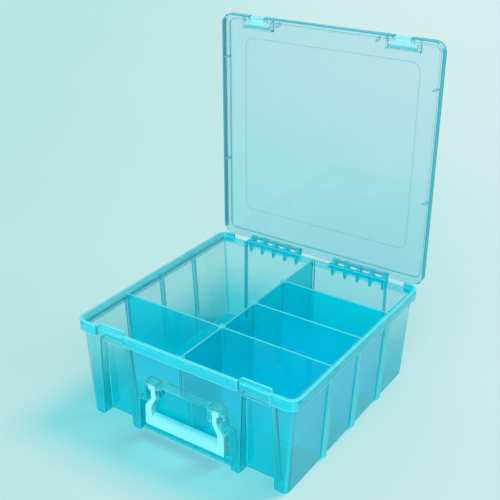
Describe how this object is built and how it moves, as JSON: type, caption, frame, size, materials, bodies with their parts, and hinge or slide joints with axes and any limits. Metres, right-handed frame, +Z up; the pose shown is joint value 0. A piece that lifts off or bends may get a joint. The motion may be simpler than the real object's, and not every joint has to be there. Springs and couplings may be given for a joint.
{
  "type": "divided craft storage box",
  "caption": "Portable clear plastic storage box with a hinged latching lid, lift-out dividers that form compartments, and a folding carry handle on the front.",
  "frame": {"origin": "on the floor under the middle of the rim", "axes": "+Z up, +X to the box's right as its front is faced, -Y out of the front with the handle"},
  "size_m": [0.356, 0.3693, 0.5067],
  "materials": {
    "tub_plastic": "clear turquoise moulded plastic",
    "lid_plastic": "clear pale aqua moulded plastic",
    "divider_plastic": "clear deep cyan sheet plastic",
    "handle_plastic": "opaque pastel aqua moulded plastic",
    "latch_plastic": "clear aqua moulded plastic",
    "pin_plastic": "clear aqua moulded plastic"
  },
  "bodies": {
    "tub_body": {"tub": "tub_plastic", "left_hinge_pin": "pin_plastic", "right_hinge_pin": "pin_plastic", "left_handle_pin": "pin_plastic", "right_handle_pin": "pin_plastic"},
    "lid_body": {"lid": "lid_plastic", "left_latch_pin": "pin_plastic", "right_latch_pin": "pin_plastic"},
    "left_latch_body": {"left_latch": "latch_plastic"},
    "right_latch_body": {"right_latch": "latch_plastic"},
    "handle_body": {"carry_handle": "handle_plastic"},
    "long_divider_body": {"long_divider": "divider_plastic"},
    "left_cross_divider_body": {"left_cross_divider": "divider_plastic"},
    "right_front_divider_body": {"right_front_divider": "divider_plastic"},
    "right_middle_divider_body": {"right_middle_divider": "divider_plastic"},
    "right_rear_divider_body": {"right_rear_divider": "divider_plastic"}
  },
  "joints": [
    {"name": "lid_hinge", "type": "hinge", "parent": "tub_body", "child": "lid_body", "pos_m": [0, 0.181, 0.1502], "axis": [-1, 0, 0], "range_deg": [-90, 0]},
    {"name": "left_latch_pivot", "type": "hinge", "parent": "lid_body", "child": "left_latch_body", "pos_m": [-0.1168, 0.1866, 0.504], "axis": [-1, 0, 0], "range_deg": [0, 170]},
    {"name": "right_latch_pivot", "type": "hinge", "parent": "lid_body", "child": "right_latch_body", "pos_m": [0.1168, 0.1866, 0.504], "axis": [-1, 0, 0], "range_deg": [0, 170]},
    {"name": "handle_pivot", "type": "hinge", "parent": "tub_body", "child": "handle_body", "pos_m": [0, -0.16197, 0.078], "axis": [-1, 0, 0], "range_deg": [0, 100]},
    {"name": "long_divider_lift", "type": "slide", "parent": "tub_body", "child": "long_divider_body", "axis": [0, 0, 1], "range_m": [0, 0.15]},
    {"name": "left_cross_divider_lift", "type": "slide", "parent": "tub_body", "child": "left_cross_divider_body", "axis": [0, 0, 1], "range_m": [0, 0.15]},
    {"name": "right_front_divider_lift", "type": "slide", "parent": "tub_body", "child": "right_front_divider_body", "axis": [0, 0, 1], "range_m": [0, 0.15]},
    {"name": "right_middle_divider_lift", "type": "slide", "parent": "tub_body", "child": "right_middle_divider_body", "axis": [0, 0, 1], "range_m": [0, 0.15]},
    {"name": "right_rear_divider_lift", "type": "slide", "parent": "tub_body", "child": "right_rear_divider_body", "axis": [0, 0, 1], "range_m": [0, 0.15]}
  ]
}
